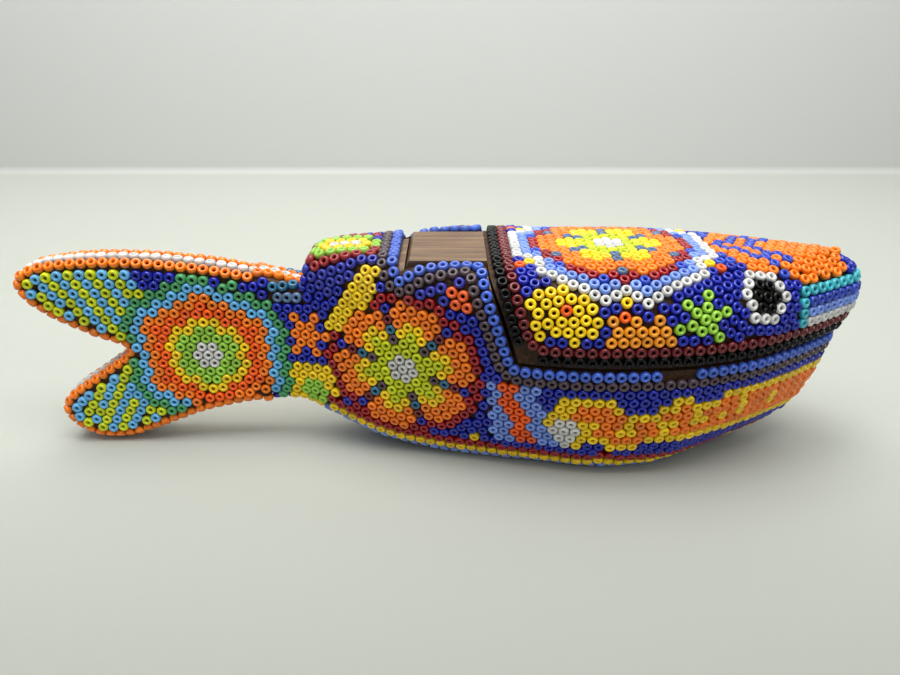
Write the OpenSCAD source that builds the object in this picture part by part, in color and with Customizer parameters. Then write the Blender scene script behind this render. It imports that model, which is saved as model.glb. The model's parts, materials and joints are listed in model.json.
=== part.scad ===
// Beaded fish box: a carved wooden fish with a hinged lid, coated with wax and set all over with
// glass seed beads. Millimetres, +Z up, snout towards +X, standing on its belly at Z = 0.

/* [Overall] */
// Length from the tail tips to the snout
length = 176; // [170:1:182]
// Width across the body at its widest
width = 45; // [43:0.5:47]
// Height of the back above the table
height = 46; // [45:0.5:48]
// Thickness of the forked tail
tail_t = 9; // [8:0.5:10]

/* [Lid and hinge] */
// Height of the seam between the lid and the hull
seam_z = 27.2; // [26:0.1:28]
// Width of the open slit between the lid and the hull
seam_gap = 0.8; // [0.6:0.1:1]
// How far the lid's rear face leans forward for each millimetre that it goes down
lid_lean = 0.33; // [0.3:0.01:0.36]
// Width of the lid's bare wooden tongue
tongue_w = 19.4; // [17:0.2:19.4]
// Clearance round the tongue in its slot
tongue_gap = 0.3; // [0.25:0.05:0.35]
// Diameter of the hinge pin
pin_d = 2.4; // [2:0.1:2.4]
// Radial clearance of the hinge pin in its bores
pin_play = 0.05; // [0.02:0.01:0.1]

/* [Layers] */
// Height of the glass beads above the wax
bead_h = 1.2; // [1:0.1:1.4]
// Thickness of the wax coat
wax_t = 0.7; // [0.5:0.1:0.8]
// Thickness of the box's wooden wall
wall_t = 3.4; // [3:0.1:4]
// Depth of the hollow carved up into the lid
lid_hollow = 7; // [5:0.5:8]

/* [Hidden] */

// The tables are drawn for a fish 176 long, 45 wide and 46 high, and scaled to the sizes above
kx = length / 176;
ky = width / 45;
kz = height / 46;

// Half width at the seam, from the tail root to the snout
PLAN = [
    [-38, 4.6], [-30, 5.7], [-15, 10.5], [5, 17], [20, 21.2], [32, 22.5], [45, 21.8],
    [60, 18], [74, 10.8], [80, 6.6], [83.6, 4], [84.8, 2.1], [85.1, 0.4]
];
// Height of the back
BACK = [
    [-38, 40.8], [-28.6, 38.4], [-27.4, 43.6], [-25, 45.4], [-17, 46], [45, 46], [66, 45.4], [85.1, 44.6]
];
// Depth of the belly; the hull is cut flat where this is below the table
BELLY = [
    [-38, 10], [-31, 10.4], [-22, 6.6], [-12, 2.2], [0, -0.6], [10, -1], [60, -1], [80, -0.4], [85.1, 0.6]
];
// Reach of the stem, the snout's front edge, at each height
STEM = [
    [0, 66.5], [6, 76], [11, 80.2], [18, 82.9], [27.2, 85.1], [31, 87], [35, 88], [38, 88], [41, 86.6],
    [44, 82.2]
];
// Squareness of the section above and below the seam
SQUARE_UP = [[-38, 5], [-12, 6], [4, 6], [30, 3.6], [60, 3.8], [85.1, 4]];
SQUARE_LOW = [[-38, 4], [-20, 4.4], [0, 6], [30, 7], [60, 6.4], [85.1, 4.4]];
// Share of the half width that the hull loses from the seam down to the belly
FLARE = [[-38, 0], [-20, 0.14], [0, 0.27], [25, 0.26], [45, 0.28], [62, 0.42], [85.1, 0.58]];

// Outline of the forked tail in the X-Z plane, from the root's top round to the root's bottom
TAIL = [
    [-34, 39.4], [-45, 41.6], [-56, 43], [-65, 43.5], [-74, 43.3], [-82, 42.3], [-86.6, 40.4],
    [-88, 37.4], [-86.4, 33.9], [-82, 30.2], [-75, 26.4], [-69, 23.8], [-67.4, 22.6], [-69.4, 20.8],
    [-75, 17], [-81.6, 12.4], [-84.2, 8.6], [-83, 4.8], [-79.4, 1.8], [-75, 0.6], [-69.5, 0.9],
    [-62, 3.6], [-52, 7.4], [-43, 9.6], [-34, 10.5]
];
tail_root_x = -38;
tail_steps = 3;
tail_rosette_at = [-49.6, 22.6];
tail_rosette_r = 17.4;
tail_rim_inset = 2.2;
tail_rim_half = tail_t / 2 - bead_h;

// Hinge pin axis, and the round end of the tongue about it
pin_x = 0.4;
pin_z = height - 4.6;
pin_half = 11.2;
tongue_r = 7;
tongue_drop = 4.6;
tongue_top = height - 0.9;
tongue_root = 0.4;
slot_rear = -6.5;
slot_half = tongue_w / 2 + tongue_gap;
slot_rows_y = slot_half + 0.75;
slot_rows_angle = 43;

slot_ahead = 20;
slot_lip = 3;
tongue_in = 4;

// Depth of the wood below the beaded surface
wood_d = bead_h + wax_t;

// Stations along the body where its faces and bead fields begin or end
lid_rear_top = 9.1;
lid_rear_seam = lid_rear_top + (height - seam_z) * lid_lean;
snout_x = 85.1;
block_front = lid_rear_seam - seam_gap / 2;
lid_rear = lid_rear_seam + seam_gap / 2;
two_rows = 4.6;
lid_front_of_rear_rows = lid_rear + two_rows;
block_rear_of_front_rows = block_front - two_rows;
rump_x = -25.5;
flower_x = -13;
zigzag_end_x = 29.5;
crown_x = 34;
star_x = 49;
snout_top_x = 54;
eye_x = 62;
bracket_x = 73;

// Ring angles of the same borders on the right side
edge_rows_angle = 13;
seam_rows_angle = -9.6;
rosette_angle = 28;
lid_side_angle = 50;
belly_angle = -46;

// Where the sections begin to lean, where the layers turn towards the snout, and over what length
lean_from = -12;
turn_from = 50;
turn_over = 20;
flare_bend = 1.3;

// Hollow in the hull and the lid
pocket_from = 22;
pocket_to = 73;
pocket_floor = wood_d + wall_t;
pocket_rim = seam_z + 4;
pocket_taper = 0.7;
reach = 200;

// Smooth curve through a table of points, with no overshoot
function row_at(t, x, i = 0) = (i >= len(t) - 2 || x < t[i + 1][0]) ? i : row_at(t, x, i + 1);
function chord(t, i) = (t[i + 1][1] - t[i][1]) / (t[i + 1][0] - t[i][0]);
function slope(t, i) =
    i <= 0 ? chord(t, 0) :
    i >= len(t) - 1 ? chord(t, len(t) - 2) :
    chord(t, i - 1) * chord(t, i) <= 0 ? 0 :
    2 * chord(t, i - 1) * chord(t, i) / (chord(t, i - 1) + chord(t, i));
function curve(t, x) =
    let (
        i = row_at(t, x),
        h = t[i + 1][0] - t[i][0],
        u = min(1, max(0, (x - t[i][0]) / h))
    )
    t[i][1] * (1 + 2 * u) * (1 - u) * (1 - u) + t[i + 1][1] * u * u * (3 - 2 * u)
    + h * u * (1 - u) * (slope(t, i) * (1 - u) - slope(t, i + 1) * u);

// Station lines lean with the lid's rear face and with the stem
function rear_face(z) = lid_rear_seam - (z - seam_z) * lid_lean;
function lean_share(x) = max(0, min(1, (x - lean_from) / (lid_rear_seam - lean_from)));
function ahead(x, z) =
    let (k = (x - lid_rear_seam) / (snout_x - lid_rear_seam))
    rear_face(z) * (1 - k) + curve(STEM, min(STEM[len(STEM) - 1][0], max(0, z / kz))) * k;
function station_x(x, z) =
    x > lid_rear_seam ? ahead(x, z) : x + (rear_face(z) - lid_rear_seam) * lean_share(x);

// Point of the beaded surface at station x and ring angle a: 0 on the right side at the seam,
// 90 along the back, 180 on the left side and -90 along the belly
function square_at(x, a) = sin(a) >= 0 ? curve(SQUARE_UP, x) : curve(SQUARE_LOW, x);
function polar(a, n) = pow(pow(abs(cos(a)), n) + pow(abs(sin(a)), n), -1 / n);
function ring_z(x, a, late) =
    let (
        r = polar(a, square_at(x, a)) * sin(a),
        rise = curve(BACK, x - (x < 0 ? late : 0)) * kz - seam_z,
        drop = seam_z - curve(BELLY, x)
    )
    seam_z + r * (r >= 0 ? rise : drop);
function ring_y(x, a) =
    let (r = polar(a, square_at(x, a)))
    -ky * curve(PLAN, x) * cos(a) * r * (1 - curve(FLARE, x) * pow(max(0, -sin(a) * r), flare_bend));
function skin(x, a, late = 0) =
    let (z = ring_z(x, a, late))
    [kx * station_x(x, z), ring_y(x, a), max(0, z)];

// The same surface pushed in by a depth: square to the skin towards the snout, and within the
// station's own plane elsewhere, with the step behind the block moved forward by the depth
function unit(v) = v / max(1e-9, norm(v));
function fore_aft(x) = max(0, min(1, (x - turn_from) / turn_over));
function tilt(x, a) =
    let (
        e = 0.3,
        along = skin(min(snout_x, x + e), a) - skin(max(tail_root_x, x - e), a),
        around = skin(x, a + 1) - skin(x, a - 1),
        n = unit(cross(along, around))
    )
    unit([n[0] * fore_aft(x), x > snout_x - 0.1 ? 0 : n[1], n[2]]);
function layer(x, a, d) = d == 0 ? skin(x, a) : skin(x, a, d) - d * tilt(x, a);

// Grid lines shared by the wood, the wax and the bead fields
STATIONS = [
    tail_root_x, -34, -30.5, -28.6, -27.4, -26.7, rump_x, -24, -21, -17.5, flower_x, slot_rear, -2, 3, 7,
    block_rear_of_front_rows, block_front, lid_rear, lid_front_of_rear_rows, 25, zigzag_end_x, crown_x,
    39, 44, star_x, snout_top_x, 58, eye_x, 66, 69.5, bracket_x, 76, 79, 81.5, 83.4, 84.6, snout_x
];
LID_ANGLES = [
    1.2, 7, edge_rows_angle, 20, rosette_angle, 36, slot_rows_angle, lid_side_angle, 58, 68, 79, 90
];
HULL_ANGLES = [-0.9, -5, seam_rows_angle, -17, -26, -36, belly_angle, -54, -64, -76, -90];
RIGHT = concat([for (i = [len(HULL_ANGLES) - 1:-1:0]) HULL_ANGLES[i]], LID_ANGLES);
LEFT = [for (i = [len(RIGHT) - 2:-1:1]) 180 - RIGHT[i]];
RING = concat(RIGHT, LEFT);
TWO_TURNS = concat([for (a = LEFT) a - 360], RING);
function between(list, lo, hi) = [for (v = list) if (v >= lo - 1e-6 && v <= hi + 1e-6) v];

// Two triangles for each cell of a grid of ids, wound outwards, or inwards when flipped
function cell(a, b, c, d, flip = false) = flip ? [[a, c, b], [a, d, c]] : [[a, b, c], [a, c, d]];

// A closed sheet between two depths, over stations xs and the ring angles that angles(x) gives
module sheet(xs, angles, d0, d1, loop = false) {
    nx = len(xs);
    na = len(angles(xs[0]));
    cols = loop ? na : na - 1;
    points = [for (d = [d0, d1]) for (x = xs) for (a = angles(x)) layer(x, a, d)];
    function id(k, i, j) = k * nx * na + i * na + j % na;
    skins = [for (k = [0, 1]) for (i = [0:nx - 2]) for (j = [0:cols - 1])
        for (f = cell(id(k, i, j), id(k, i, j + 1), id(k, i + 1, j + 1), id(k, i + 1, j), k == 1)) f];
    ends = [for (i = [0, nx - 1]) for (j = [0:cols - 1])
        for (f = cell(id(0, i, j), id(1, i, j), id(1, i, j + 1), id(0, i, j + 1), i > 0)) f];
    sides = [for (j = loop ? [] : [0, na - 1]) for (i = [0:nx - 2])
        for (f = cell(id(0, i, j), id(0, i + 1, j), id(1, i + 1, j), id(1, i, j), j > 0)) f];
    polyhedron(points, concat(skins, ends, sides));
}

// The whole body of the fish as one solid, a depth below the beaded surface
module core(d) {
    nx = len(STATIONS);
    na = len(RING);
    m = len(RIGHT);
    points = [for (x = STATIONS) for (a = RING) layer(x, a, d)];
    function across(j) = (j == 0 || j == m - 1) ? j : 2 * m - 2 - j;
    function id(i, j) = i * na + j % na;
    walls = [for (i = [0:nx - 2]) for (j = [0:na - 1])
        for (f = cell(id(i, j), id(i, j + 1), id(i + 1, j + 1), id(i + 1, j))) f];
    bands = [for (j = [1:m - 3]) for (f = cell(j, across(j), across(j + 1), j + 1)) f];
    root = concat([[0, across(1), 1]], bands, [[m - 2, across(m - 2), m - 1]]);
    snout = [for (f = root) [f[0], f[2], f[1]] + (nx - 1) * na * [1, 1, 1]];
    polyhedron(points, concat(walls, root, snout));
}

// Prism of an X-Z outline, centred on the fish's middle plane
module side_prism(w) {
    rotate([90, 0, 0]) linear_extrude(w, center = true) children();
}

// The lid's share of the fish, seen from the side, with its faces moved out by a clearance
module lid_share(gap) {
    foot = seam_z - gap;
    top = 2 * height;
    rear = [for (z = [foot, top]) [kx * (rear_face(z) - gap), z]];
    polygon(concat(rear, [[reach, top], [reach, foot]]));
}

// Pocket carved down into the hull, open at the seam, with its walls sloping in to a flat floor
function inner_half(x) = ky * curve(PLAN, x) - wood_d - wall_t;
module hull_pocket() {
    xs = between(STATIONS, pocket_from, pocket_to);
    nx = len(xs);
    n = 2 * nx;
    function ring(z, share) = concat(
        [for (x = xs) [kx * station_x(x, z), -share * inner_half(x), z]],
        [for (i = [nx - 1:-1:0]) [kx * station_x(xs[i], z), share * inner_half(xs[i]), z]]
    );
    points = concat(ring(pocket_floor, pocket_taper), ring(pocket_rim, 1));
    floor_face = [for (j = [0:n - 1]) j];
    rim_face = [for (j = [n - 1:-1:0]) n + j];
    walls = [for (j = [0:n - 1]) for (f = cell(j, n + j, n + (j + 1) % n, (j + 1) % n)) f];
    polyhedron(points, concat([floor_face, rim_face], walls));
}

// Shallow hollow carved up into the lid
module lid_pocket() {
    xs = between(STATIONS, pocket_from, pocket_to - 1);
    half = [for (x = xs) [kx * x, inner_half(x)]];
    outline = concat(half, [for (i = [len(half) - 1:-1:0]) [half[i][0], -half[i][1]]]);
    translate([0, 0, seam_z - 1]) linear_extrude(lid_hollow + 1) polygon(outline);
}

// The tongue seen from the side: a bar with a round end about the pin
module tongue_outline() {
    intersection() {
        union() {
            translate([kx * pin_x, pin_z]) circle(r = tongue_r, $fn = 96);
            translate([kx * pin_x, pin_z - reach])
                square([kx * (lid_rear_top + tongue_in - pin_x), 2 * reach]);
        }
        difference() {
            translate([-reach, pin_z - tongue_drop])
                square([2 * reach, tongue_top - pin_z + tongue_drop]);
            translate([kx * (lid_rear_top + seam_gap / 2), height - wood_d - tongue_root])
                square(reach);
        }
    }
}

module tongue_slot() {
    r = tongue_r + tongue_gap;
    side_prism(2 * slot_half) {
        translate([kx * pin_x, pin_z]) circle(r = r, $fn = 96);
        translate([kx * pin_x, pin_z - r]) square([slot_ahead, r + slot_ahead]);
        translate([kx * slot_rear, tongue_top - slot_lip]) square([slot_ahead, slot_ahead]);
    }
}

// Room above the slot that the wax and the beads leave free
module slot_clearing() {
    translate([slot_rear - 5, -slot_rows_y, pin_z - tongue_r]) cube([reach, 2 * slot_rows_y, reach]);
}

module pin_bore(d) {
    translate([kx * pin_x, 0, pin_z]) rotate([90, 0, 0])
        cylinder(d = d, h = 2 * pin_half, center = true, $fn = 48);
}

// Carved wood
module base_carving() {
    color("peru") difference() {
        union() {
            core(wood_d);
            tail_plate(wood_d, tail_root_x);
        }
        side_prism(reach) lid_share(seam_gap / 2);
        hull_pocket();
        tongue_slot();
        pin_bore(pin_d + 2 * pin_play);
    }
}

module lid_carving() {
    color("peru") difference() {
        union() {
            intersection() {
                core(wood_d);
                side_prism(reach) lid_share(-seam_gap / 2);
            }
            side_prism(tongue_w) tongue_outline();
        }
        lid_pocket();
        pin_bore(pin_d + 2 * pin_play);
    }
}

module hinge_pin() {
    color("tan") pin_bore(pin_d);
}

// Wax coat, laid on in five stretches
module wax(xs, angles, loop = false) {
    color("saddlebrown") sheet(xs, angles, bead_h, wood_d, loop);
}

module wax_hull() {
    wax(between(STATIONS, block_front, snout_x), function (x) between(TWO_TURNS, -179.2, -0.8));
}

module wax_block() {
    difference() {
        wax(between(STATIONS, slot_rear, block_front), function (x) between(TWO_TURNS, -260, 80));
        slot_clearing();
    }
}

module wax_rump() {
    wax(between(STATIONS, tail_root_x, slot_rear), function (x) RING, true);
}

module wax_lid() {
    wax(between(STATIONS, lid_rear, snout_x), function (x) between(RING, 1, 179));
}

module wax_tail() {
    color("saddlebrown") difference() {
        tail_plate(bead_h, tail_root_x);
        tail_plate(wood_d, tail_root_x + 1);
    }
}

// Fields of beads on the body: stations x0 to x1 and ring angles a0 to a1
module right_field(x0, x1, a0, a1, tint) {
    color(tint) sheet(between(STATIONS, x0, x1), function (x) between(TWO_TURNS, a0, a1), 0, bead_h);
}

module left_field(x0, x1, a0, a1, tint) {
    right_field(x0, x1, 180 - a1, 180 - a0, tint);
}

module lid_edge_rows_right() { right_field(lid_rear, snout_x, 1, edge_rows_angle, "black"); }
module lid_edge_rows_left() { left_field(lid_rear, snout_x, 1, edge_rows_angle, "black"); }
module lid_rear_rows() {
    right_field(lid_rear, lid_front_of_rear_rows, edge_rows_angle, 180 - edge_rows_angle, "maroon");
}
module lid_flower_right() {
    right_field(lid_front_of_rear_rows, crown_x, edge_rows_angle, lid_side_angle, "gold");
}
module lid_flower_left() {
    left_field(lid_front_of_rear_rows, crown_x, edge_rows_angle, lid_side_angle, "gold");
}
module lid_crown_right() { right_field(crown_x, star_x, edge_rows_angle, lid_side_angle, "orange"); }
module lid_crown_left() { left_field(crown_x, star_x, edge_rows_angle, lid_side_angle, "orange"); }
module lid_star_right() { right_field(star_x, eye_x, edge_rows_angle, lid_side_angle, "yellowgreen"); }
module lid_star_left() { left_field(star_x, eye_x, edge_rows_angle, lid_side_angle, "yellowgreen"); }
module lid_eye_right() { right_field(eye_x, bracket_x, edge_rows_angle, lid_side_angle, "white"); }
module lid_eye_left() { left_field(eye_x, bracket_x, edge_rows_angle, lid_side_angle, "white"); }
module nose_bracket_right() {
    right_field(bracket_x, snout_x, edge_rows_angle, lid_side_angle, "turquoise");
}
module nose_bracket_left() {
    left_field(bracket_x, snout_x, edge_rows_angle, lid_side_angle, "turquoise");
}
module lid_top_rosette() {
    right_field(lid_front_of_rear_rows, snout_top_x, lid_side_angle, 180 - lid_side_angle, "orangered");
}
module lid_snout_top() {
    right_field(snout_top_x, snout_x, lid_side_angle, 180 - lid_side_angle, "orange");
}

module seam_rows_right() { right_field(block_front, snout_x, seam_rows_angle, -0.8, "royalblue"); }
module seam_rows_left() { left_field(block_front, snout_x, seam_rows_angle, -0.8, "royalblue"); }
module block_front_rows_right() {
    right_field(block_rear_of_front_rows, block_front, seam_rows_angle, slot_rows_angle, "cornflowerblue");
}
module block_front_rows_left() {
    left_field(block_rear_of_front_rows, block_front, seam_rows_angle, slot_rows_angle, "cornflowerblue");
}
module side_rosette_right() {
    right_field(rump_x, block_rear_of_front_rows, belly_angle, rosette_angle, "goldenrod");
}
module side_rosette_left() {
    left_field(rump_x, block_rear_of_front_rows, belly_angle, rosette_angle, "goldenrod");
}
module zigzag_right() {
    right_field(block_rear_of_front_rows, zigzag_end_x, belly_angle, seam_rows_angle, "tomato");
}
module zigzag_left() {
    left_field(block_rear_of_front_rows, zigzag_end_x, belly_angle, seam_rows_angle, "tomato");
}
module band_field_right() {
    right_field(zigzag_end_x, snout_x, belly_angle, seam_rows_angle, "darkorange");
}
module band_field_left() {
    left_field(zigzag_end_x, snout_x, belly_angle, seam_rows_angle, "darkorange");
}
module block_side_right() {
    right_field(rump_x, block_rear_of_front_rows, rosette_angle, slot_rows_angle, "mediumblue");
}
module block_side_left() {
    left_field(rump_x, block_rear_of_front_rows, rosette_angle, slot_rows_angle, "mediumblue");
}
module slot_side_rows_right() {
    difference() {
        right_field(slot_rear, block_front, slot_rows_angle, 80, "cornflowerblue");
        slot_clearing();
    }
}
module slot_side_rows_left() {
    difference() {
        left_field(slot_rear, block_front, slot_rows_angle, 80, "cornflowerblue");
        slot_clearing();
    }
}
module slot_back_rows() {
    right_field(flower_x, slot_rear, slot_rows_angle, 180 - slot_rows_angle, "rosybrown");
}
module block_top_flower() {
    right_field(rump_x, flower_x, slot_rows_angle, 180 - slot_rows_angle, "greenyellow");
}
module tail_root_field() {
    color("navy") sheet(between(STATIONS, tail_root_x, rump_x), function (x) RING, 0, bead_h, true);
}
module belly_field() { right_field(rump_x, snout_x, -180 - belly_angle, belly_angle, "darkred"); }

// Forked tail: a flat plate with a smooth outline
function between_points(a, b, c, d, u) =
    0.5 * (2 * b + (c - a) * u
    + (2 * a - 5 * b + 4 * c - d) * u * u
    + (3 * b - a - 3 * c + d) * u * u * u);
function tail_curve() =
    let (
        n = len(TAIL),
        next = function (i) TAIL[min(n - 1, i)]
    )
    [for (i = [0:n - 2]) for (s = [0:tail_steps - 1])
        between_points(TAIL[max(0, i - 1)], TAIL[i], next(i + 1), next(i + 2), s / tail_steps)];
function inset(points, d) =
    [for (i = [0:len(points) - 1])
        let (
            along = unit(points[min(len(points) - 1, i + 1)] - points[max(0, i - 1)]),
            inward = [along[1], -along[0]]
        )
        points[i] - d * inward];
module tail_shape(d, root) {
    intersection() {
        scale([kx, kz]) polygon(concat(inset(tail_curve(), d), [TAIL[len(TAIL) - 1] + [0, d]]));
        translate([-reach, -reach]) square([kx * root + reach, 2 * reach]);
    }
}
module tail_plate(d, root) {
    side_prism(tail_t - 2 * d) tail_shape(d, root);
}

// Bead panels on the tail's two faces, and the rows round its rim
module tail_panel(side, tint) {
    translate([0, side * (tail_t - bead_h) / 2, 0]) color(tint) side_prism(bead_h) intersection() {
        tail_shape(tail_rim_inset, tail_root_x);
        children();
    }
}
module rosette_disc() {
    translate([kx * tail_rosette_at[0], tail_rosette_at[1]]) circle(r = tail_rosette_r, $fn = 72);
}
module fin(up) {
    difference() {
        translate([-reach, tail_rosette_at[1] - (up ? 0 : reach)]) square([2 * reach, reach]);
        rosette_disc();
    }
}
module tail_rosette_right() { tail_panel(-1, "orange") rosette_disc(); }
module tail_rosette_left() { tail_panel(1, "orange") rosette_disc(); }
module tail_upper_fin_right() { tail_panel(-1, "skyblue") fin(true); }
module tail_upper_fin_left() { tail_panel(1, "skyblue") fin(true); }
module tail_lower_fin_right() { tail_panel(-1, "skyblue") fin(false); }
module tail_lower_fin_left() { tail_panel(1, "skyblue") fin(false); }
module tail_rim_rows() {
    color("orangered") side_prism(2 * tail_rim_half) difference() {
        tail_shape(0, tail_root_x);
        tail_shape(bead_h, tail_root_x + 1);
    }
}

base_carving();
lid_carving();
hinge_pin();
wax_hull();
wax_block();
wax_rump();
wax_tail();
wax_lid();
lid_edge_rows_right();
lid_edge_rows_left();
lid_rear_rows();
lid_flower_right();
lid_flower_left();
lid_crown_right();
lid_crown_left();
lid_star_right();
lid_star_left();
lid_eye_right();
lid_eye_left();
nose_bracket_right();
nose_bracket_left();
lid_top_rosette();
lid_snout_top();
seam_rows_right();
seam_rows_left();
block_front_rows_right();
block_front_rows_left();
side_rosette_right();
side_rosette_left();
zigzag_right();
zigzag_left();
band_field_right();
band_field_left();
block_side_right();
block_side_left();
slot_side_rows_right();
slot_side_rows_left();
slot_back_rows();
block_top_flower();
tail_root_field();
belly_field();
tail_rosette_right();
tail_rosette_left();
tail_upper_fin_right();
tail_upper_fin_left();
tail_lower_fin_right();
tail_lower_fin_left();
tail_rim_rows();
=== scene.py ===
import math
import random

import bmesh
import bpy
import numpy as np
from mathutils import Matrix, Vector
from mathutils.bvhtree import BVHTree
from mathutils.interpolate import poly_3d_calc
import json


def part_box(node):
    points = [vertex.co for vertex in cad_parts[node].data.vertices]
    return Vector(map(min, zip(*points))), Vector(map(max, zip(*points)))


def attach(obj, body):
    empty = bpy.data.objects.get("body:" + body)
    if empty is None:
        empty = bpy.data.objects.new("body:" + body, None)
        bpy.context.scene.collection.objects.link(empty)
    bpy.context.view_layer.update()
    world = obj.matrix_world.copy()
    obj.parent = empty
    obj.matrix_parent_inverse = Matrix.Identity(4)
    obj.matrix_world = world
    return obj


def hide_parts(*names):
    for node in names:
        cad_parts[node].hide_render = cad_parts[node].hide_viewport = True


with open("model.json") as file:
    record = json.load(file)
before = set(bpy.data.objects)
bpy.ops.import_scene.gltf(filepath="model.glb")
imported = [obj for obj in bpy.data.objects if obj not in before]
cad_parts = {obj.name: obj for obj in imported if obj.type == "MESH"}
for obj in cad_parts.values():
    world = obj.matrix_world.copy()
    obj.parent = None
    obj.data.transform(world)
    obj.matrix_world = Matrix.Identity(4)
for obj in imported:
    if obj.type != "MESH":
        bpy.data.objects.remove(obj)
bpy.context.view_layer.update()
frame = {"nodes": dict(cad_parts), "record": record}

MM = 0.001
PITCH = 2.24 * MM      # from bead to bead along a row
ROW = 2.0 * MM         # from row to row
BEAD_R = 1.13 * MM
HOLE_R = 0.36 * MM
BEAD_H = 1.42 * MM
SINK = 0.47 * MM       # height of a bead's middle over its wax
CREASE = 42            # degrees: a sharper corner of the wax stays a corner
BULGE = 0.7            # how far flat faces are rounded towards their smooth normals
SEAM_Z = 27.2 * MM     # the seam's height where the slit behind the lid meets it
LEAN = 0.33            # how far the slit leans back for each unit that it rises
AHEAD = Vector((1, 0, 0))
RIGHT = Vector((0, -1, 0))
SLIT_WAY = Vector((-LEAN, 0, 1)).normalized()
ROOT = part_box("wax_rump")[0].x
LID_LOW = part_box("lid_edge_rows_right")[0].z
TAIL_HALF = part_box("wax_tail")[1].y
dice = random.Random(11)

# Glass colours, as seen
GLASS = {
    "cobalt": "12219c", "navy": "0e123e", "royal": "2a44b0", "cornflower": "4264c6",
    "periwinkle": "7492dc", "sky": "62aede", "turquoise": "3aacb8", "teal": "2a6584",
    "greyblue": "4d6788", "green": "46985e", "lime": "94c83e", "chartreuse": "c2cc0a",
    "yellow": "f2cc06", "amber": "ec961c", "orange": "f27c10", "redorange": "ee5a04",
    "red": "960c14", "maroon": "68161c", "mauve": "4c3c44", "brown": "503e40",
    "white": "cecdc9", "black": "030304",
}


def mm(x, y, z):
    return Vector((x, y, z)) * MM


# ---------------------------------------------------------------- the skins that beads lie on

class Skin:
    """The outer face of CAD wax coats, rounded between its corners."""

    def __init__(self, *names):
        self.corners = []
        self.normals = []
        for name in names:
            self.take(frame["nodes"][name].data)
        points = [p for corner in self.corners for p in corner]
        faces = [(i, i + 1, i + 2) for i in range(0, len(points), 3)]
        self.tree = BVHTree.FromPolygons(points, faces)

    def take(self, data):
        mesh = welded(data, CREASE)
        mesh.calc_loop_triangles()
        for tri in mesh.loop_triangles:
            corners = [mesh.vertices[v].co.copy() for v in tri.vertices]
            if faces_out(sum(corners, Vector()) / 3, tri.normal):
                self.corners.append(corners)
                self.normals.append([mesh.corner_normals[k].vector.copy() for k in tri.loops])

    def at(self, point):
        near, _, index, _ = self.tree.find_nearest(point)
        corners, normals = self.corners[index], self.normals[index]
        share = poly_3d_calc(corners, near)
        normal = Vector()
        bulge = Vector()
        for s, c, n in zip(share, corners, normals):
            normal += n * s
            bulge += (near - n * (near - c).dot(n)) * s
        return near.lerp(bulge, BULGE), normal.normalized()

    def reaches(self, place, normal, span):
        """Whether the skin goes on for a span all round a place."""
        side = normal.orthogonal().normalized() * span
        for turn in range(4):
            spot = place + Matrix.Rotation(turn * math.pi / 2, 3, normal) @ side
            if (self.at(spot)[0] - spot).length > 0.55 * span:
                return False
        return True

    def seen_from(self, origin, toward):
        ray = (toward - origin).normalized()
        hit, normal, _, _ = self.tree.ray_cast(origin, ray)
        return None if hit is None or normal.dot(ray) > 0 else self.at(hit)[0]


def faces_out(place, normal):
    """Whether a face of the wax is outermost, and not an inner face or an end."""
    if abs(place.x - ROOT) < 0.5 * MM and abs(normal.x) > 0.9:
        return False
    if place.x < ROOT:
        return True
    heart = Vector((min(max(place.x, -0.024), 0.055), 0, 0.027))
    return normal.dot((place - heart).normalized()) > (0.1 if place.x < heart.x else 0.33)


def welded(data, crease):
    """A copy of a mesh with its shared corners joined, smooth except over creases."""
    bm = bmesh.new()
    bm.from_mesh(data)
    bmesh.ops.remove_doubles(bm, verts=bm.verts, dist=1e-5)
    bmesh.ops.recalc_face_normals(bm, faces=bm.faces)
    for face in bm.faces:
        face.smooth = True
    for edge in bm.edges:
        edge.smooth = edge.calc_face_angle(0) < math.radians(crease)
    mesh = bpy.data.meshes.new("welded")
    bm.to_mesh(mesh)
    bm.free()
    return mesh


def walk(skin, start, step):
    """The point reached by walking straight over the skin, or None past its edge."""
    point, normal = skin.at(start)
    left = step.length
    if left < 1e-9:
        return point
    heading = (step - normal * step.dot(normal)).normalized()
    count = max(1, round(left / (1.1 * MM)))
    for _ in range(count):
        goal = point + heading * (left / count)
        point, normal = skin.at(goal)
        if (point - goal).length > 0.4 * MM:
            return None
        heading = (heading - normal * heading.dot(normal)).normalized()
    return point


# ---------------------------------------------------------------- paths for strung rows

def fan(skin, centre, along, across, first, last):
    """Points of the skin in one plane, seen from a centre at a fan of angles in degrees."""
    found = []
    count = max(2, int(abs(last - first) / 1.5))
    for i in range(count + 1):
        angle = math.radians(first + (last - first) * i / count)
        ray = along * math.cos(angle) + across * math.sin(angle)
        found.append(skin.seen_from(centre + ray * 150 * MM, centre))
    return [p for p in found if p is not None]


def even(path, gap, phase=0.0, closed=False):
    """Points at equal steps of about gap along a path."""
    points = list(path) + ([path[0]] if closed else [])
    if len(points) < 2:
        return points
    reach = [0.0]
    for a, b in zip(points, points[1:]):
        reach.append(reach[-1] + (b - a).length)
    count = max(1, round(reach[-1] / gap))
    made = []
    k = 0
    for i in range(count if closed or phase else count + 1):
        goal = (i + phase) * reach[-1] / count
        while k < len(reach) - 2 and reach[k + 1] < goal:
            k += 1
        share = (goal - reach[k]) / max(reach[k + 1] - reach[k], 1e-12)
        made.append(points[k].lerp(points[k + 1], share))
    return made


def rounded(skin, path, rounds):
    """The path with its corners rounded, on the skin."""
    path = even(path, 0.6 * MM)
    for _ in range(rounds):
        inner = [(a + b * 2 + c) / 4 for a, b, c in zip(path, path[1:], path[2:])]
        path = [path[0]] + inner + [path[-1]]
    return [skin.at(p)[0] for p in path]


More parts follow.
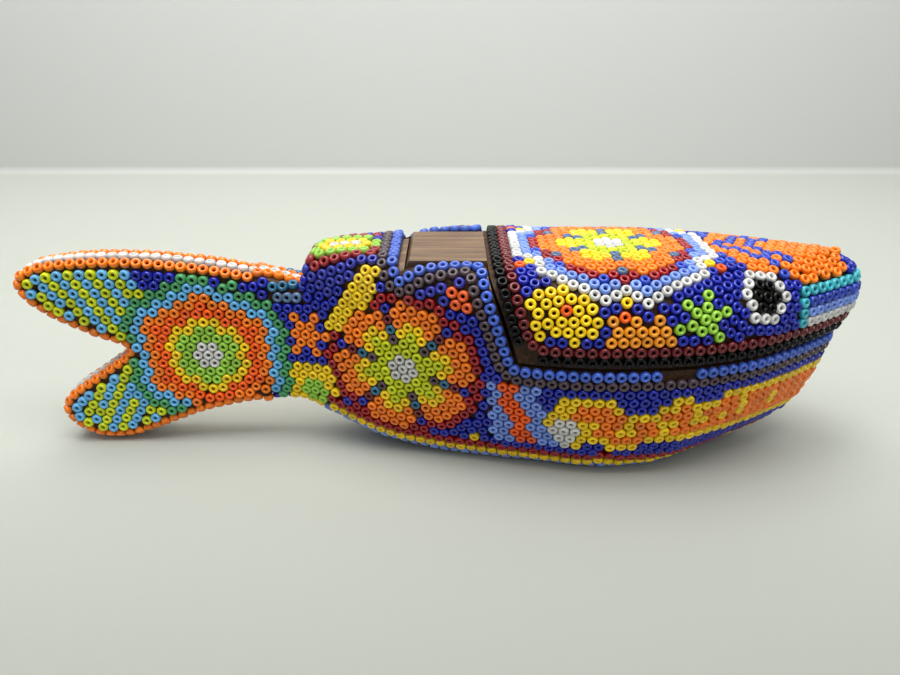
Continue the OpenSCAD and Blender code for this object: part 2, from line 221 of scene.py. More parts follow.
def beside(skin, path, gap):
    """The path one row further over, to the right of the way it runs."""
    path = even(path, 0.9 * MM)
    moved = []
    for i, point in enumerate(path):
        ahead = path[min(i + 1, len(path) - 1)] - path[max(i - 1, 0)]
        near, normal = skin.at(point)
        there = walk(skin, near, ahead.cross(normal).normalized() * gap)
        if there is not None and min((there - p).length for p in path) > 0.93 * gap:
            moved.append(there)
    return rounded(skin, moved, 2)


def mirrored(half):
    """A path and its mirror image, joined where they meet on the middle plane."""
    return half + [Vector((p.x, -p.y, p.z)) for p in reversed(half)]


# ---------------------------------------------------------------- beads

class Bed:
    """The beads of one body, with a grid that finds neighbours."""

    def __init__(self, skin, fields):
        self.skin = skin
        self.fields = fields
        self.beads = []
        self.bare = []
        self.grid = {}

    def key(self, point):
        return tuple(math.floor(c / PITCH) for c in point)

    def near(self, point):
        a, b, c = self.key(point)
        for i in (a - 1, a, a + 1):
            for j in (b - 1, b, b + 1):
                for k in (c - 1, c, c + 1):
                    yield from self.grid.get((i, j, k), ())

    def room(self, point):
        return min(((b["at"] - point).length for b in self.near(point)), default=1.0)

    def lay(self, point, glass, held=False, apart=0.86):
        place, normal = self.skin.at(point)
        if (place - point).length > 0.45 * MM or self.room(place) < apart * PITCH:
            return None
        if any((place - spot).length < size for spot, size in self.bare):
            return None
        bead = {"at": place, "up": normal, "glass": glass, "held": held}
        self.beads.append(bead)
        self.grid.setdefault(self.key(place), []).append(bead)
        return bead

    def settle(self, rounds, spread=0.99):
        """Beads that crowd each other shift apart over the skin."""
        for _ in range(rounds):
            for bead in self.beads:
                push = Vector()
                for other in self.near(bead["at"]):
                    off = bead["at"] - other["at"]
                    lack = spread * PITCH - off.length
                    if other is not bead and lack > 0 and off.length > 1e-6:
                        push += off.normalized() * lack * (0.9 if other["held"] else 0.5)
                if bead["held"] or push.length < 1e-6:
                    continue
                push.length = min(push.length, 0.3 * MM)
                place, normal = self.skin.at(bead["at"] + push)
                if normal.dot(bead["up"]) > 0.8:
                    bead["at"], bead["up"] = place, normal
            self.grid = {}
            for bead in self.beads:
                self.grid.setdefault(self.key(bead["at"]), []).append(bead)

    def close_gaps(self, ground, apart):
        """Fills each gap wide enough for a bead with the ground colour there."""
        for bead in list(self.beads):
            side = bead["up"].orthogonal().normalized()
            for turn in range(12):
                ray = Matrix.Rotation(turn * math.pi / 6, 3, bead["up"]) @ side
                spot = bead["at"] + ray * 0.97 * PITCH
                place, normal = self.skin.at(spot)
                if self.room(place) < apart * PITCH or normal.dot(bead["up"]) < 0.5:
                    continue
                name = ground(place)
                if name and self.skin.reaches(place, normal, 0.9 * MM):
                    self.lay(place, name, apart=apart)


def string(bed, path, glass, phase=0.0, closed=False):
    """Lays one strung row. glass is a colour, or says the colour at a place."""
    for point in even(path, PITCH * 1.005, phase, closed):
        name = glass if isinstance(glass, str) else glass(point)
        if name:
            bed.lay(point, name, True, 0.7)


class Patch:
    """A hexagonal lattice of beads laid out from a centre: name(i, j) says each colour."""

    def __init__(self, bed, centre, heading, name, side=-1):
        self.bed, self.name, self.side = bed, name, side
        self.centre, normal = bed.skin.at(centre)
        self.east = (heading - normal * heading.dot(normal)).normalized()
        self.north = normal.cross(self.east) * -side

    def lay(self, rings, ground=None, rivals=()):
        span = range(-rings, rings + 1)
        spots = [(i, j) for i in span for j in span if ring(i, j) <= rings]
        for i, j in sorted(spots, key=lambda s: ring(*s)):
            own = self.name(i, j)
            if (own is None) == (ground is None):
                continue
            step = (self.east * (i + j / 2) + self.north * (j * 0.866)) * PITCH
            place = walk(self.bed.skin, self.centre, step)
            if place is None:
                continue
            if ground is None:
                self.bed.lay(place, own, apart=0.7)
            elif ground(place) and not nearer(place, self.centre, rivals):
                self.bed.lay(place, ground(place), apart=0.8)


def nearer(place, centre, rivals):
    """Whether a place is nearer to another patch's centre than to this one's."""
    return any((place - r.centre).length < (place - centre).length - 1e-6 for r in rivals)


def ring(i, j):
    """Which hexagonal ring round the middle a bead is in."""
    return max(abs(i), abs(j), abs(i + j))


def corner(i, j):
    """Steps along its ring from a bead to the ring's nearest corner."""
    return min(abs(i), abs(j), abs(i + j))


def radius(i, j):
    """A bead's distance from the middle, in pitches."""
    return math.hypot(i + j / 2, j * 0.866)


# ---------------------------------------------------------------- traditional motifs

def bands(r, *steps):
    """The colour of the first band that reaches out to r."""
    for reach, name in steps:
        if r < reach:
            return name
    return None


def wheel(i, j):
    """A round flower whose petals are parted by six spokes."""
    k, m = ring(i, j), corner(i, j)
    if m == 0 and 3 <= k <= 6:
        return ("brown", "teal", "maroon", "cobalt")[k - 3]
    r = radius(i, j) + (0.5 if m == 1 and k > 3 else 0)
    petal = ((1.2, "white"), (3.5, "chartreuse"), (4.6, "yellow"))
    return bands(r, *petal, (6.4, "orange"), (7.3, "red"))


def crest(i, j):
    """The large flower on the lid, ringed with blue and a white line."""
    k, m = ring(i, j), corner(i, j)
    if m == 0 and k >= 8:
        return bands(k, (9, "white"), (10, "yellow"), (11, "redorange"))
    if m == 0 and k in (3, 4, 6):
        return "greyblue"
    r = radius(i, j) + (0.4 if m == 1 and k > 3 else 0)
    petal = ((1.2, "white"), (3.4, "chartreuse"), (4.5, "yellow"))
    inner = bands(r, *petal, (6.3, "orange"), (7.2, "red"))
    if inner:
        return inner
    outer = k + (1 if m == 1 else 0)
    return bands(outer, (9, "royal"), (10, "periwinkle"), (11, "white"))


def target(i, j):
    """Hexagonal rings with blunt corners, for the tail."""
    k, m = ring(i, j), corner(i, j)
    w = 1 if k < 2 else max(2, k - math.ceil(m / 2))
    names = ("white", "lime", "yellow", "redorange", "orange", "sky", "green")
    return bands(w, *enumerate(names, 2))


def star(name):
    """Six points round a ring of beads."""
    def colour(i, j):
        point = ring(i, j) == 2 and corner(i, j) == 0
        return name if point or ring(i, j) < 2 else None
    return colour


def blossom(petals, eye):
    """A round flower of one colour with an eye."""
    def colour(i, j):
        if ring(i, j) == 0:
            return eye
        return petals if ring(i, j) < 3 or (ring(i, j) == 3 and corner(i, j) > 0) else None
    return colour


def rings(*names):
    """Hexagonal rings, from the middle out."""
    return lambda i, j: names[ring(i, j)] if ring(i, j) < len(names) else None


def oblong(*names):
    """Rings round a row of three beads."""
    def colour(i, j):
        reach = min(ring(i - c, j) for c in (-1, 0, 1))
        return names[reach] if reach < len(names) else None
    return colour


def chart(letters, *rows):
    """Rows of beads drawn with letters, each row set half a bead over from the last."""
    spots = {}
    for r, row in enumerate(rows):
        j = (len(rows) - 1) // 2 - r
        for c, letter in enumerate(row):
            if letter != ".":
                spots[round(c - (len(row) - 1) / 2 - j / 2 + 0.01), j] = letters[letter]
    return lambda i, j: spots.get((i, j))


# ---------------------------------------------------------------- the lid

def lid_beads():
    """All beads of the lid."""
    skin = Skin("wax_lid")
    bed = Bed(skin, [n for n in frame["record"]["behaviour"]["bodies"]["lid"] if is_field(n)])
    low = LID_LOW
    bed.bare = [(mm(17, y, 29), 2.3 * MM) for y in (-20.5, 20.5)]
    for depth, name, phase in ((0.0, "black", 0), (ROW, "maroon", 0.5)):
        string(bed, lid_edge(skin, low + 1.6 * MM + depth, depth), name, phase, True)
    nose = low + 1.6 * MM + ROW
    for name in ("white", "periwinkle", "royal", "turquoise"):
        nose += ROW
        string(bed, nose_row(skin, nose, 71.2), bracket(name))
    patches = lid_patches(bed)
    for patch in patches:
        patch.lay(11)
    for patch in patches:
        patch.lay(12, lid_ground, patches)
    finish_bed(bed, lid_ground)
    return bed


def lid_edge(skin, z, depth):
    """A loop round the lid: along the seam, round the nose and over the top of its rear edge."""
    level = fan(skin, Vector((0.040, 0, z)), AHEAD, RIGHT, 0, 150)
    back = 15.9 * MM + 1.25 * MM + depth
    level = [p for p in level if p.x > back - (p.z - SEAM_Z) * LEAN]
    centre = Vector((back - 8.8 * MM * LEAN, 0, 0.036))
    side = fan(skin, centre, RIGHT, SLIT_WAY, -40, 90)
    side = [p for p in side if p.z > z]
    half = rounded(skin, level + side, 22)
    return mirrored(half)[:-1]


def nose_row(skin, z, rear):
    """A row round the nose at one height, from a station on one side to the other."""
    level = fan(skin, Vector((0.060, 0, z)), AHEAD, RIGHT, 0, 70)
    half = [p for p in level if p.x > rear * MM]
    return mirrored(list(reversed(half)))


def bracket(name):
    """A nose row's colour, with a turquoise bead at its rear end."""
    return lambda place: "turquoise" if place.x < 72.3 * MM else name


def lid_patches(bed):
    amber = chart({"a": "amber"}, "a.a.a.", "aaaaa", "aaaaaa")
    ahead = Vector((1, 0, 0.05))
    patches = [Patch(bed, mm(34.6, 0, 46), Vector((0, -1, 0)), crest)]
    patches.append(Patch(bed, mm(66, 0, 46), AHEAD, snout))
    for s in (-1, 1):
        flower = blossom("yellow", "redorange")
        patches.append(Patch(bed, mm(23.4, s * 21, 38.7), ahead, flower, s))
        patches.append(Patch(bed, mm(37.2, s * 22, 35.6), ahead, amber, s))
        patches.append(Patch(bed, mm(50.0, s * 20.3, 37.1), Vector((1, 0, 0.35)), star("lime"), s))
        patches.append(Patch(bed, mm(62.7, s * 15.3, 40.3), ahead, rings("black", "black", "white"), s))
    return patches


def snout(i, j):
    """An orange arrowhead with a blue chevron."""
    x, y = i + j / 2, abs(j) * 0.866
    if x > 7 or y > 4.6 or x < -5 + y * 0.4:
        return None
    return "royal" if 0 < x + 4.4 - y < 1.4 or 3.2 < x + 5 - y < 4.6 and y < 3 else "orange"


def lid_ground(place):
    """The colour between the lid's motifs, and None on the wax left bare at its edges."""
    if place.z < LID_LOW + 4.5 * MM:
        return None
    if place.x + (place.z - SEAM_Z) * LEAN < 17 * MM:
        return None
    top = place.z > 43.6 * MM
    if top and place.x > 54 * MM:
        return "royal" if abs(place.y) > 4 * MM else "periwinkle"
    return "cobalt"


# ---------------------------------------------------------------- the hull, block and rump

def base_beads():
    """All beads of the base."""
    skin = Skin("wax_hull", "wax_block", "wax_rump", "wax_tail")
    bed = Bed(skin, [n for n in frame["record"]["behaviour"]["bodies"]["base"] if is_field(n)])
    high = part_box("seam_rows_right")[1].z - 1.1 * MM
    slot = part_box("slot_side_rows_right")[1].y - 1.15 * MM
    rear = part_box("slot_back_rows")[1].x - 1.2 * MM
    edge = opening_edge(skin, high, slot, rear)
    inner = list(reversed(beside(skin, list(reversed(edge)), ROW * 1.02)))
    string(bed, mirrored(edge)[:-1], seam_blue, 0, True)
    string(bed, mirrored(inner)[:-1], "mauve", 0.5, True)
    hull_rows(bed, skin, high - ROW * 1.03)
    rim_rows(bed, skin)
    ridge_rows(bed, skin)
    strokes(bed, skin)
    patches = base_patches(bed)
    for patch in patches:
        patch.lay(9)
    for patch in patches[:2]:
        patch.name = fins
        patch.lay(19)
    for patch in patches:
        patch.lay(13, base_ground, patches)
    finish_bed(bed, base_ground)
    lean_rims(bed)
    return bed


def opening_edge(skin, z, slot, rear):
    """Half a loop round the lid's opening: the seam, the block's front edge and the slot."""
    level = fan(skin, Vector((0.040, 0, z)), AHEAD, RIGHT, 0, 156)
    front = 13.85 * MM
    level = [p for p in level if p.x > front - (p.z - SEAM_Z) * LEAN]
    centre = Vector((front - 8.8 * MM * LEAN, 0, 0.036))
    rise = fan(skin, centre, RIGHT, SLIT_WAY, -40, 80)
    rise = [p for p in rise if p.z > z and p.y < slot]
    along = from_above(skin, [(x * MM, slot) for x in range(7, -20, -1)])
    along = [p for p in along if rear + 0.8 * MM < p.x < rise[-1].x - 0.5 * MM]
    ahead = from_above(skin, [(rear, y * MM) for y in range(-14, 1)])
    ahead = [p for p in ahead if p.y > slot + 1.0 * MM]
    return rounded(skin, level + rise + along + ahead, 9)


def from_above(skin, spots):
    """The points of the skin under spots x, y."""
    top = 60 * MM
    found = [skin.seen_from(Vector((x, y, top)), Vector((x, y, 0))) for x, y in spots]
    return [p for p in found if p is not None]


def seam_blue(place):
    """The row beside the seam is blue, but for three lost beads on the right side."""
    return None if is_lost(place) else "cornflower"


def is_lost(place):
    """Whether a place is where the photograph shows beads lost."""
    return place.y < 0 and abs(place.x - 46.4 * MM) < 3.2 * MM and 24.9 * MM < place.z < 30 * MM


def hull_rows(bed, skin, z):
    """Rows under the seam, from the zigzag round the bow, and the long rows along the keel."""
    keel = keel_line(skin)
    for row, name in enumerate(("red", "yellow", "periwinkle")):
        string(bed, keel, name, 0.5 if row % 2 else 0)
        keel = beside(skin, keel, ROW * 0.98)
    level = fan(skin, Vector((0.040, 0, z)), AHEAD, RIGHT, 0, 156)
    path = mirrored([p for p in reversed(level) if p.x > 10.2 * MM])
    for row in range(2, 11):
        path = beside(skin, path, ROW)
        half = [p for p in path if p.y <= 0]
        for side in (-1, 1):
            lay_hull_row(bed, [Vector((p.x, -side * p.y, p.z)) for p in half], row)


def lay_hull_row(bed, half, row):
    """One side's share of a hull row, counted from the side rosette to the bow."""
    shift = 0.5 if row % 2 else 0.0
    for i, point in enumerate(even(half, PITCH, shift)):
        bed.lay(point, hull_colour(i + shift, row), True, 0.8)


def hull_colour(u, row):
    """A zigzag, then a wavy orange band edged in yellow with a white diamond at its head."""
    turn = u - 1.3 - (row - 2) * 0.22
    if abs(turn) < 2.8:
        return "redorange" if abs(turn) < 0.85 else "periwinkle"
    tip = abs(u - 6.4) + abs(row - 7) * 0.5
    if tip < 1.1 and row > 5:
        return "white"
    if tip < 2.1 and (u < 6.7 or row > 5):
        return "yellow"
    return band_colour(u, row)


def band_colour(u, row):
    """The wavy band: its two edges are lines, and short yellow bars cross it."""
    top = line_at(u, (6.9, 3), (10.4, 3), (12.4, 5), (13.4, 5), (17.2, 3), (18.7, 4), (24, 2.6), (40, 3))
    wave = ((6.9, 8.4), (9.4, 8), (11, 9.2), (12.6, 9), (14.4, 7.6), (16.2, 8.6), (20, 7.6), (40, 8))
    low = line_at(u, *wave)
    if u < 6.9 or row < top - 0.4 or row > low + 0.4:
        return "cobalt"
    if row < top + 0.6 or row > low - 0.6 or u < 7.4 + (5 - row) * 0.5:
        return "yellow"
    bars = ((8.6, 6, 7), (12.1, 6, 7), (15.4, 6, 7), (18.5, 4, 6), (21.0, 6, 6), (23.2, 4, 6), (27.4, 5, 6))
    on_bar = any(abs(u - at) < 0.6 and first <= row <= last for at, first, last in bars)
    return "yellow" if on_bar else "orange"


def line_at(u, *points):
    """Height at u of a line through a few points."""
    for (u0, v0), (u1, v1) in zip(points, points[1:]):
        if u <= u1:
            return v0 + (v1 - v0) * max(0, u - u0) / (u1 - u0)
    return points[-1][1]


def keel_line(skin):
    """The guide for the lowest rows of the hull."""
    guide = ((-23, 12.5), (-16, 9), (-8, 6.6), (2, 5.7), (16, 5.5), (40, 5.4), (58, 5.4))
    half = []
    for (x0, z0), (x1, z1) in zip(guide, guide[1:]):
        for i in range(8):
            x, z = x0 + (x1 - x0) * i / 8, z0 + (z1 - z0) * i / 8
            half.append(skin.seen_from(mm(x, -60, z), mm(x, 0, z)))
    half += list(reversed(fan(skin, mm(57, 0, 5.4), AHEAD, RIGHT, 0, 85)))
    half = [p for p in half if p is not None]
    return rounded(skin, mirrored(half), 6)


def ridge_rows(bed, skin):
    """Two short dusty rows on each side of the rump's ridge, behind the block."""
    for name, z, reach in (("teal", 37.4, 3), ("greyblue", 35.4, 2)):
        for s in (-1, 1):
            path = [skin.seen_from(mm(x, s * 30, z), mm(x, 0, z)) for x in range(-31 - reach, -28)]
            string(bed, [p for p in path if p is not None], name)


def strokes(bed, skin):
    """The yellow stair that runs down the block's shoulder."""
    for s in (-1, 1):
        for shift, last in ((0, 13), (2.2, 13), (-2.2, 8)):
            ends = (mm(-12.2 - shift, s * 10.4, 43.5), mm(-20.4 - shift, s * 8, 30.4))
            path = [skin.at(ends[0].lerp(ends[1], k / 12))[0] for k in range(last)]
            string(bed, path, "yellow")


def base_patches(bed):
    square = chart({"r": "redorange"}, "rr", ".rr")
    wedge = chart({"y": "yellow"}, "y", "yy")
    patches = [Patch(bed, mm(-49.4, s * 4, 21.8), AHEAD, target, s) for s in (-1, 1)]
    patches.append(Patch(bed, mm(-19.1, 0, 46), AHEAD, oblong("white", "yellow", "lime", "red")))
    for x in (6, 32, 58):
        flower = rings("white", "sky", "cobalt", "yellow", "orange")
        patches.append(Patch(bed, mm(x, 0, 0), AHEAD, flower))
    for s in (-1, 1):
        patches.append(Patch(bed, mm(-7.6, s * 13, 23), Vector((1, 0, -0.24)), wheel, s))
        patches.append(Patch(bed, mm(-27.8, s * 6.2, 27.7), AHEAD, star("orange"), s))
        knot = rings("lime", "lime", "yellow", "yellow")
        patches.append(Patch(bed, mm(-26.9, s * 5.6, 14.2), AHEAD, knot, s))
        patches.append(Patch(bed, mm(2.4, s * 16.5, 41.0), AHEAD, square, s))
        patches.append(Patch(bed, mm(7.6, s * 13.5, 7.3), AHEAD, wedge, s))
    return patches


def base_ground(place):
    """The colour between the base's motifs, and None where the wax is bare or rows lie."""
    x, y, z = place / MM
    if x < -62:
        return dice.choice(("sky", "chartreuse"))
    beside_slot = z > 38 and -8 < x < 15 and abs(y) < 12
    if is_lost(place) or beside_slot or (z > 27.5 and x + (z - 27.2) * LEAN > 12.8):
        return None
    return "cobalt" if place.z > 2 * MM else "navy"


# ---------------------------------------------------------------- the tail

def rim_rows(bed, skin):
    """Three rows round the tail's rim, carried over the rump's ridge to the block."""
    rim = tail_rim(skin)
    for share, name, phase in ((-0.82, "orange", 0), (0, "white", 0.5), (0.82, "orange", 0)):
        aside = Vector((0, share * TAIL_HALF, 0))
        ridge = [skin.seen_from(mm(x, 0, 60) + aside, mm(x, 0, 20)) for x in range(-29, -38, -1)]
        path = [p for p in ridge if p is not None]
        path += [Vector((p.x, aside.y, p.z)) for p in rim]
        string(bed, path, name, phase)


def tail_rim(skin):
    """The rim of the tail, walked round from its root's top to its root's bottom."""
    point = skin.seen_from(mm(-38.2, 0, 60), mm(-38.2, 0, 30))
    path = [point]
    for _ in range(900):
        near, normal = skin.at(point)
        ahead = Vector((0, -1, 0)).cross(normal).normalized()
        point = skin.at(near + ahead * 0.4 * MM)[0]
        point.y = 0
        path.append(point)
        if point.x > -38.3 * MM and len(path) > 40:
            break
    return path


def fins(i, j):
    """Slanting stripes on the two fins, behind the target."""
    x, y = i + j / 2, j * 0.866
    k = ring(i, j)
    if target(i, j) or x > -2 or (x > -6 and abs(y) > 6.9 and k < 11):
        return None
    stripe = (i + j if y > 0 else i) % 2
    edge = k < 10 and corner(i, j) > 0
    return "chartreuse" if edge or stripe else "sky"


def lean_rims(bed):
    """The outer rim rows sit a little deeper and lean out towards the tail's faces."""
    for bead in bed.beads:
        at, up = bead["at"], bead["up"]
        if bead["held"] and at.x < ROOT and abs(at.y) > 0.5 * TAIL_HALF:
            bead["at"] = at - up * 0.3 * MM
            bead["up"] = (up + Vector((0, math.copysign(0.85, at.y), 0))).normalized()


# ---------------------------------------------------------------- from beads to pieces

def is_field(name):
    """Whether a CAD node is a bead field."""
    return not name.startswith("wax") and name not in ("base_carving", "lid_carving", "hinge_pin")


def finish_bed(bed, ground):
    """Spreads crowded beads and fills the gaps between them."""
    bed.settle(6)
    for apart in (0.82, 0.80, 0.78, 0.76, 0.74):
        bed.close_gaps(ground, apart)
        bed.settle(7, 1.04)
    bed.settle(6)


def bead_shape(sides=14):
    """A rounded glass ring about the local Z axis: corner points and quads."""
    r, h = BEAD_R, BEAD_H / 2
    crown = (r + HOLE_R) / 2
    outline = [
        (r, 0.0), (r * 0.97, 0.46 * h), (r * 0.86, 0.82 * h), (crown, h),
        (HOLE_R * 1.3, 0.84 * h), (HOLE_R, 0.3 * h), (HOLE_R * 1.1, -0.8 * h), (r * 0.85, -0.9 * h),
        (r * 0.98, -0.4 * h),
    ]
    points = []
    for s in range(sides):
        a = 2 * math.pi * s / sides
        points += [(q * math.cos(a), q * math.sin(a), z) for q, z in outline]
    n = len(outline)
    quads = []
    for s in range(sides):
        for k in range(n):
            a, b = s * n + k, s * n + (k + 1) % n
            c, d = (a + n) % (sides * n), (b + n) % (sides * n)
            quads.append((a, c, d, b))
    return np.array(points), np.array(quads)


def bead_turn(up):
    """A frame whose Z leans a little off the skin's normal, as hand-set beads do."""
    wobble = Vector([dice.gauss(0, 0.045) for _ in range(3)])
    z = (up + wobble).normalized()
    x = z.orthogonal().normalized()
    x = Matrix.Rotation(dice.uniform(0, 6.28), 3, z) @ x
    return np.array([x, z.cross(x), z]).T


def build_pieces(bed, body):
    """One mesh of separate beads for each CAD bead field."""
    fields = {name: [] for name in bed.fields}
    corners, faces, owner = [], [], []
    for name in bed.fields:
        data = frame["nodes"][name].data
        start = len(corners)
        corners += [v.co.copy() for v in data.vertices]
        faces += [[start + v for v in p.vertices] for p in data.polygons]
        owner += [name] * len(data.polygons)
    tree = BVHTree.FromPolygons(corners, faces)
    for bead in bed.beads:
        index = tree.find_nearest(bead["at"] + bead["up"] * 1.2 * MM)[2]
        fields[owner[index]].append(bead)
    for name, beads in fields.items():
        if beads:
            build_field(name, beads, body)


def build_field(name, beads, body):
    shape, quads = bead_shape()
    glass = sorted({(b["glass"], tint(b)) for b in beads})
    points, faces, slots = [], [], []
    for count, bead in enumerate(beads):
        size = np.array([1, 1, dice.uniform(0.93, 1.07)]) * dice.uniform(0.965, 1.02)
        at = on_table(bead["at"] + bead["up"] * (SINK + dice.gauss(0, 0.03 * MM)), bead["up"])
        points.append((shape * size) @ bead_turn(bead["up"]).T + np.array(at))
        faces.append(quads + count * len(shape))
        slots += [glass.index((bead["glass"], tint(bead)))] * len(quads)
    mesh = bpy.data.meshes.new(name + "_beads")
    mesh.from_pydata(np.concatenate(points).tolist(), [], np.concatenate(faces).tolist())
    for key in glass:
        mesh.materials.append(glass_material(*key))
    mesh.polygons.foreach_set("material_index", slots)
    mesh.shade_smooth()
    piece = bpy.data.objects.new(name + "_beads", mesh)
    bpy.context.scene.collection.objects.link(piece)
    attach(piece, body)
    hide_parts(name)


def on_table(at, up):
    """Beads under the keel are pressed into their wax, so none goes below the table."""
    low = abs(up.z) * BEAD_H / 2 + math.sqrt(max(0, 1 - up.z ** 2)) * BEAD_R
    return Vector((at.x, at.y, max(at.z, 1.05 * low)))


def tint(bead):
    """Which of a colour's tints a bead has: 0 to 2 by chance, 3 where dust has settled."""
    if "tint" not in bead:
        p = bead["at"] / MM
        dusty = -40 < p.x < 7 and p.z > 39 + dice.gauss(0, 1.5)
        bead["tint"] = 3 if dusty else dice.choice((0, 0, 1, 2))
    return bead["tint"]


# ---------------------------------------------------------------- materials

def linear(code):
    """A colour's linear values from its hexadecimal code."""
    values = [int(code[i:i + 2], 16) / 255 for i in (0, 2, 4)]
    return [v / 12.92 if v < 0.04045 else ((v + 0.055) / 1.055) ** 2.4 for v in values]


def material(name):
    found = bpy.data.materials.new(name)
    found.use_nodes = True
    return found, found.node_tree, found.node_tree.nodes["Principled BSDF"]


def glass_material(name, shade):
    """Opaque seed-bead glass of a colour, in one of its four tints."""
    full = f"glass_{name}_{shade}"
    if full in bpy.data.materials:
        return bpy.data.materials[full]
    made, _, surface = material(full)
    gain = (1.0, 0.88, 1.1, 0.9)[shade]
    colour = [min(1.0, c * gain) for c in linear(GLASS[name])]
    if shade == 3:
        colour = [c * 0.93 + d * 0.07 for c, d in zip(colour, (0.30, 0.27, 0.24))]
    surface.inputs["Base Color"].default_value = (*colour, 1)
    surface.inputs["Roughness"].default_value = 0.34 if shade == 3 else 0.16
    surface.inputs["IOR"].default_value = 1.52
    coat = 0.1 if shade == 3 else 0.2
    surface.inputs["Specular IOR Level"].default_value = 0.22 if name == "black" else 0.42
    surface.inputs["Coat Weight"].default_value = 0.0 if name == "black" else coat
    surface.inputs["Coat Roughness"].default_value = 0.05
    surface.inputs["Coat IOR"].default_value = 1.45
    return made


def mapped_noise(tree, scale, stretch, detail=6.0):
    """Noise in the object's own space, stretched along its axes."""
    nodes, links = tree.nodes, tree.links
    place = nodes.new("ShaderNodeTexCoord")
    fit = nodes.new("ShaderNodeMapping")
    noise = nodes.new("ShaderNodeTexNoise")
    fit.inputs["Scale"].default_value = stretch
    noise.inputs["Scale"].default_value = scale
    noise.inputs["Detail"].default_value = detail
    links.new(place.outputs["Object"], fit.inputs["Vector"])
    links.new(fit.outputs["Vector"], noise.inputs["Vector"])
    return noise.outputs["Fac"]


def ramp(tree, value, *stops):
    node = tree.nodes.new("ShaderNodeValToRGB")
    tree.links.new(value, node.inputs["Fac"])
    marks = node.color_ramp.elements
    while len(marks) < len(stops):
        marks.new(0.5)
    for mark, (at, code) in zip(marks, stops):
        mark.position = at
        mark.color = (*linear(code), 1)
    return node.outputs["Color"]


def add_bump(tree, surface, value, strength, depth):
    bump = tree.nodes.new("ShaderNodeBump")
    bump.inputs["Strength"].default_value = strength
    bump.inputs["Distance"].default_value = depth
    tree.links.new(value, bump.inputs["Height"])
    tree.links.new(bump.outputs["Normal"], surface.inputs["Normal"])


def wood_material(name, dark, mid, light):
    """Oiled wood with its grain along X."""
    made, tree, surface = material(name)
    grain = mapped_noise(tree, 420, (0.10, 1.6, 1.0))
    colour = ramp(tree, grain, (0.30, dark), (0.52, mid), (0.72, light))
    tree.links.new(colour, surface.inputs["Base Color"])
    surface.inputs["Roughness"].default_value = 0.48
    surface.inputs["Coat Weight"].default_value = 0.12
    surface.inputs["Coat Roughness"].default_value = 0.3
    add_bump(tree, surface, grain, 0.45, 0.0004)
    return made


def wax_material():
    """Dark beeswax, lumpy and dull."""
    made, tree, surface = material("beeswax")
    lumps = mapped_noise(tree, 900, (1, 1, 1), 3.0)
    colour = ramp(tree, lumps, (0.3, "24150a"), (0.6, "432a14"), (0.8, "664422"))
    tree.links.new(colour, surface.inputs["Base Color"])
    surface.inputs["Roughness"].default_value = 0.6
    surface.inputs["Specular IOR Level"].default_value = 0.25
    add_bump(tree, surface, lumps, 0.6, 0.0004)
    return made


def dress_cad():
    """Materials for the CAD wood and wax, which stay as they are."""
    carved = wood_material("carved_wood", "47331f", "6b5036", "8c6d4a")
    dowel = wood_material("dowel_wood", "7a5630", "a1794a", "bf9866")
    wax = wax_material()
    wood = {"base_carving": (carved, "wood"), "lid_carving": (carved, "wood"), "hinge_pin": (dowel, "dowel")}
    for name, node in frame["nodes"].items():
        if name in wood or name.startswith("wax"):
            finish, slot = wood.get(name, (wax, "wax"))
            node.data.materials.clear()
            node.data.materials.append(finish)


# ---------------------------------------------------------------- the room

def build_floor():
    """A pale floor that sweeps up into a wall behind."""
    half, wall, bend, top = 1.5, 0.275, 0.004, 1.2
    side = [(-1.5, 0.0), (wall - bend, 0.0)]
    for k in range(1, 9):
        a = math.radians(k * 90 / 8)
        side.append((wall - bend + bend * math.sin(a), bend * (1 - math.cos(a))))
    side.append((wall, top))
    points = [(x, y, z) for y, z in side for x in (-half, half)]
    faces = [(2 * k, 2 * k + 1, 2 * k + 3, 2 * k + 2) for k in range(len(side) - 1)]
    mesh = bpy.data.meshes.new("floor")
    mesh.from_pydata(points, [], faces)
    mesh.shade_smooth()
    floor = bpy.data.objects.new("floor", mesh)
    bpy.context.scene.collection.objects.link(floor)
    mesh.materials.append(paper_material())


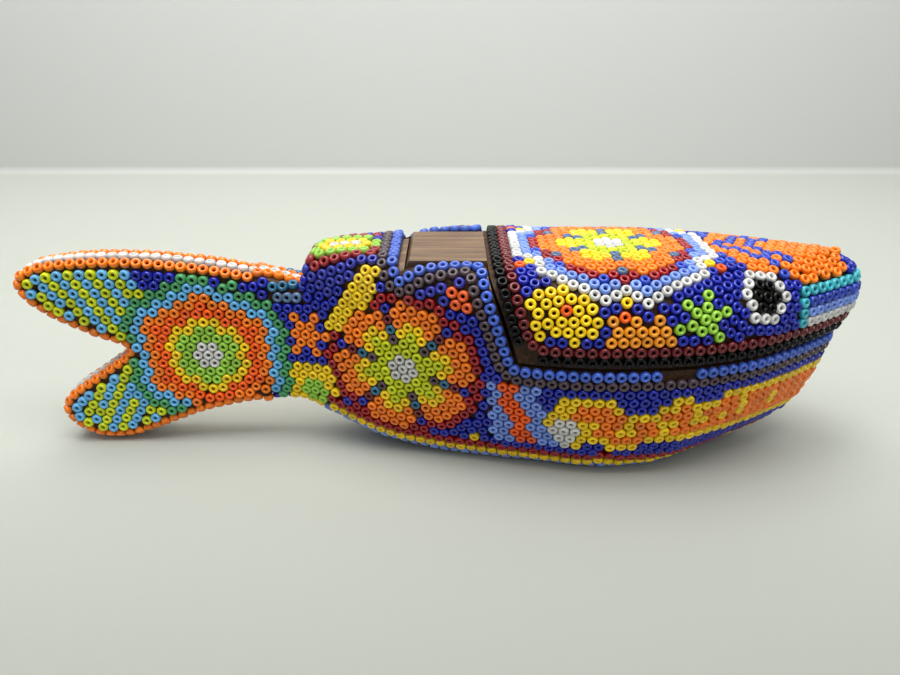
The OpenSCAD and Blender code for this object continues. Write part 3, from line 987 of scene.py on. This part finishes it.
def paper_material():
    """Pale paper, with painted shade towards the camera and painted light up the wall."""
    made, tree, surface = material("pale_paper")
    place = tree.nodes.new("ShaderNodeTexCoord")
    share = tree.nodes.new("ShaderNodeVectorMath")
    share.operation = "DOT_PRODUCT"
    share.inputs[1].default_value = (0, 2.4, 2.4)
    tree.links.new(place.outputs["Object"], share.inputs[0])
    lift = tree.nodes.new("ShaderNodeMath")
    lift.inputs[1].default_value = 0.29
    tree.links.new(share.outputs["Value"], lift.inputs[0])
    # the ramp paints shade on the floor nearer the camera and paints light higher up the wall
    painted_light_and_shade = ((0.04, "92958d"), (0.29, "aeb1a8"), (0.93, "aeb1a8"), (0.97, "bbbcb8"))
    tree.links.new(ramp(tree, lift.outputs["Value"], *painted_light_and_shade), surface.inputs["Base Color"])
    surface.inputs["Roughness"].default_value = 0.7
    add_bump(tree, surface, mapped_noise(tree, 900, (1, 1, 1)), 0.15, 0.0002)
    return made


def build_light(name, place, aim, size, watts, colour=(1, 1, 1)):
    lamp = bpy.data.lights.new(name, "AREA")
    lamp.size = size
    lamp.energy = watts
    lamp.color = colour
    held = bpy.data.objects.new(name, lamp)
    held.location = place
    held.rotation_euler = (Vector(aim) - Vector(place)).to_track_quat("-Z", "Y").to_euler()
    bpy.context.scene.collection.objects.link(held)


def build_room():
    """Paper, three soft lights, a pale world and the camera."""
    build_floor()
    build_light("window", (-0.15, 0.10, 0.75), (0, 0, 0.02), 0.35, 3.1, (1.0, 0.98, 0.95))
    build_light("fill", (0.35, -0.7, 0.6), (0, 0, 0.02), 0.6, 1.3, (0.97, 0.98, 1.0))
    build_light("backdrop", (0.0, -0.05, 0.55), (0, 0.27, 0.42), 0.5, 4.6, (0.98, 0.99, 1.0))
    world = bpy.data.worlds.new("studio")
    world.use_nodes = True
    world.node_tree.nodes["Background"].inputs["Color"].default_value = (0.95, 0.96, 1.0, 1)
    world.node_tree.nodes["Background"].inputs["Strength"].default_value = 0.33
    bpy.context.scene.world = world
    bpy.context.scene.view_settings.view_transform = "Standard"
    eye = bpy.data.cameras.new("camera")
    eye.sensor_width = 36
    eye.lens = 28.8
    eye.clip_start = 0.005
    camera = bpy.data.objects.new("camera", eye)
    camera.location = mm(2.35, -142, 91)
    camera.rotation_euler = (math.radians(90 - 25.2), 0, 0)
    bpy.context.scene.collection.objects.link(camera)
    bpy.context.scene.camera = camera


dress_cad()
lid = lid_beads()
base = base_beads()
build_pieces(lid, "lid")
build_pieces(base, "base")
print("beads", len(lid.beads), len(base.beads))
build_room()
